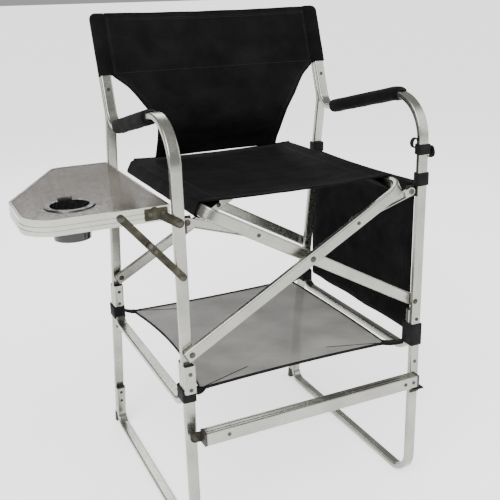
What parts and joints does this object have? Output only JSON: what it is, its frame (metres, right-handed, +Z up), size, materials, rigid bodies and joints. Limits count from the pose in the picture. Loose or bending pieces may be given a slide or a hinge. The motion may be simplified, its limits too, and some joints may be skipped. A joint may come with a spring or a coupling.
{
  "type": "director chair",
  "caption": "Tall folding director chair with scissor braces, sling seat and back, mesh shelf, drop-down side table, side bag and swing-up footrest.",
  "frame": {"origin": "on the floor, under the centre of the chair's bounding box with the side table open", "axes": "+Z up; the chair faces -Y, so a sitter looks along -Y; the side table is on the -X side and the bag on the +X side"},
  "size_m": [0.8765, 0.6627, 1.114],
  "materials": {
    "main_tube_left": "satin",
    "main_tube_right": "satin",
    "rear_tube_left": "satin",
    "rear_tube_right": "satin",
    "rear_leg_left": "satin",
    "rear_leg_right": "satin",
    "rear_foot_cap_left": "matte",
    "rear_foot_cap_right": "matte",
    "tube_plugs_left": "matte",
    "tube_plugs_right": "matte",
    "arm_pad_left": "matte",
    "arm_pad_right": "matte",
    "back_sleeve_left": "matte",
    "back_sleeve_right": "matte",
    "back_fabric": "matte",
    "seat_fabric": "matte",
    "shelf_mesh": "matte",
    "shelf_straps_left": "matte",
    "shelf_straps_right": "matte",
    "side_bag": "matte",
    "bag_straps": "matte",
    "storage_strap": "matte",
    "brace_a": "satin",
    "brace_b": "satin",
    "brace_a_plugs": "matte",
    "brace_b_plugs": "matte",
    "pivot_pins_left": "satin",
    "pivot_pins_right": "satin",
    "centre_pins": "satin",
    "pivot_stubs": "satin",
    "link_left": "satin",
    "link_right": "satin",
    "link_bracket_left": "satin",
    "link_bracket_right": "satin",
    "link_pin_left": "satin",
    "link_pin_right": "satin",
    "table_panel": "glossy",
    "table_edge_band": "satin",
    "cup_holder": "glossy",
    "table_hinge_front": "satin",
    "table_hinge_rear": "satin",
    "table_hinge_pins": "satin",
    "table_rivets": "satin",
    "stay_upper_front": "satin",
    "stay_upper_rear": "satin",
    "stay_lower_front": "satin",
    "stay_lower_rear": "satin",
    "stay_leg_pins": "satin",
    "stay_band_pins": "satin",
    "stay_rivets": "satin",
    "footrest_bar": "satin",
    "footrest_lug": "satin",
    "footrest_end_caps": "matte",
    "footrest_pin": "satin",
    "footrest_rivets": "satin",
    "footrest_catch": "satin",
    "frame_rivets_left": "satin",
    "frame_rivets_right": "satin",
    "brace_rivet_a": "satin",
    "brace_rivet_b": "satin"
  },
  "bodies": {
    "left_frame": {"main_tube_left": "main_tube_left", "rear_tube_left": "rear_tube_left", "rear_leg_left": "rear_leg_left", "rear_foot_cap_left": "rear_foot_cap_left", "tube_plugs_left": "tube_plugs_left", "arm_pad_left": "arm_pad_left", "back_sleeve_left": "back_sleeve_left", "back_fabric": "back_fabric", "shelf_mesh": "shelf_mesh", "shelf_straps_left": "shelf_straps_left", "pivot_pins_left": "pivot_pins_left", "pivot_stubs": "pivot_stubs", "link_bracket_left": "link_bracket_left", "link_pin_left": "link_pin_left", "table_hinge_pins": "table_hinge_pins", "stay_leg_pins": "stay_leg_pins", "footrest_pin": "footrest_pin", "frame_rivets_left": "frame_rivets_left"},
    "right_frame": {"main_tube_right": "main_tube_right", "rear_tube_right": "rear_tube_right", "rear_leg_right": "rear_leg_right", "rear_foot_cap_right": "rear_foot_cap_right", "tube_plugs_right": "tube_plugs_right", "arm_pad_right": "arm_pad_right", "back_sleeve_right": "back_sleeve_right", "shelf_straps_right": "shelf_straps_right", "side_bag": "side_bag", "bag_straps": "bag_straps", "storage_strap": "storage_strap", "pivot_pins_right": "pivot_pins_right", "link_bracket_right": "link_bracket_right", "link_pin_right": "link_pin_right", "footrest_catch": "footrest_catch", "frame_rivets_right": "frame_rivets_right"},
    "brace_a": {"brace_a": "brace_a", "brace_a_plugs": "brace_a_plugs", "centre_pins": "centre_pins", "seat_fabric": "seat_fabric", "brace_rivet_a": "brace_rivet_a"},
    "brace_b": {"brace_b": "brace_b", "brace_b_plugs": "brace_b_plugs", "brace_rivet_b": "brace_rivet_b"},
    "link_left": {"link_left": "link_left"},
    "link_right": {"link_right": "link_right"},
    "table": {"table_panel": "table_panel", "table_edge_band": "table_edge_band", "cup_holder": "cup_holder", "table_hinge_front": "table_hinge_front", "table_hinge_rear": "table_hinge_rear", "table_rivets": "table_rivets", "stay_band_pins": "stay_band_pins"},
    "stay_upper": {"stay_upper_front": "stay_upper_front", "stay_upper_rear": "stay_upper_rear"},
    "stay_lower": {"stay_lower_front": "stay_lower_front", "stay_lower_rear": "stay_lower_rear", "stay_rivets": "stay_rivets"},
    "footrest": {"footrest_bar": "footrest_bar", "footrest_lug": "footrest_lug", "footrest_end_caps": "footrest_end_caps", "footrest_rivets": "footrest_rivets"}
  },
  "joints": [
    {"name": "fold", "type": "hinge", "parent": "left_frame", "child": "brace_a", "pos_m": [-0.152, -0.296, 0.472], "axis": [0, -1, 0], "range_deg": [0, 36], "deforming": ["seat_fabric", "back_fabric", "shelf_mesh"]},
    {"name": "scissor", "type": "hinge", "parent": "brace_a", "child": "brace_b", "pos_m": [0.122, -0.282, 0.62514], "axis": [0, -1, 0], "range_deg": [-72, 0]},
    {"name": "right_pivot", "type": "hinge", "parent": "brace_b", "child": "right_frame", "pos_m": [0.396, -0.282, 0.472], "axis": [0, -1, 0], "range_deg": [0, 36]},
    {"name": "left_link", "type": "hinge", "parent": "left_frame", "child": "link_left", "pos_m": [-0.132, -0.257, 0.7309], "axis": [0, -1, 0], "range_deg": [0, 84.4]},
    {"name": "right_link", "type": "hinge", "parent": "right_frame", "child": "link_right", "pos_m": [0.376, -0.282, 0.7309], "axis": [0, -1, 0], "range_deg": [-84.4, 0]},
    {"name": "table_fold", "type": "hinge", "parent": "left_frame", "child": "table", "pos_m": [-0.158, -0.0645, 0.741], "axis": [0, -1, 0], "range_deg": [0, 80]},
    {"name": "stay_elbow", "type": "hinge", "parent": "table", "child": "stay_upper", "pos_m": [-0.269, -0.0645, 0.766], "axis": [0, -1, 0], "range_deg": [-129.14, 0]},
    {"name": "stay_pivot", "type": "hinge", "parent": "left_frame", "child": "stay_lower", "pos_m": [-0.158, -0.0645, 0.634], "axis": [0, -1, 0], "range_deg": [0, 103.58]},
    {"name": "footrest_swing", "type": "hinge", "parent": "left_frame", "child": "footrest", "pos_m": [-0.158, -0.3135, 0.291], "axis": [0, -1, 0], "range_deg": [0, 90]}
  ],
  "couplings": [
    {"joint": "scissor", "follows": "fold", "ratio": -2},
    {"joint": "right_pivot", "follows": "fold", "ratio": 1},
    {"joint": "left_link", "follows": "fold", "ratio": 2.339},
    {"joint": "right_link", "follows": "fold", "ratio": -2.339},
    {"joint": "stay_elbow", "follows": "table_fold", "ratio": -1.6117},
    {"joint": "stay_pivot", "follows": "table_fold", "ratio": 1.2922}
  ]
}
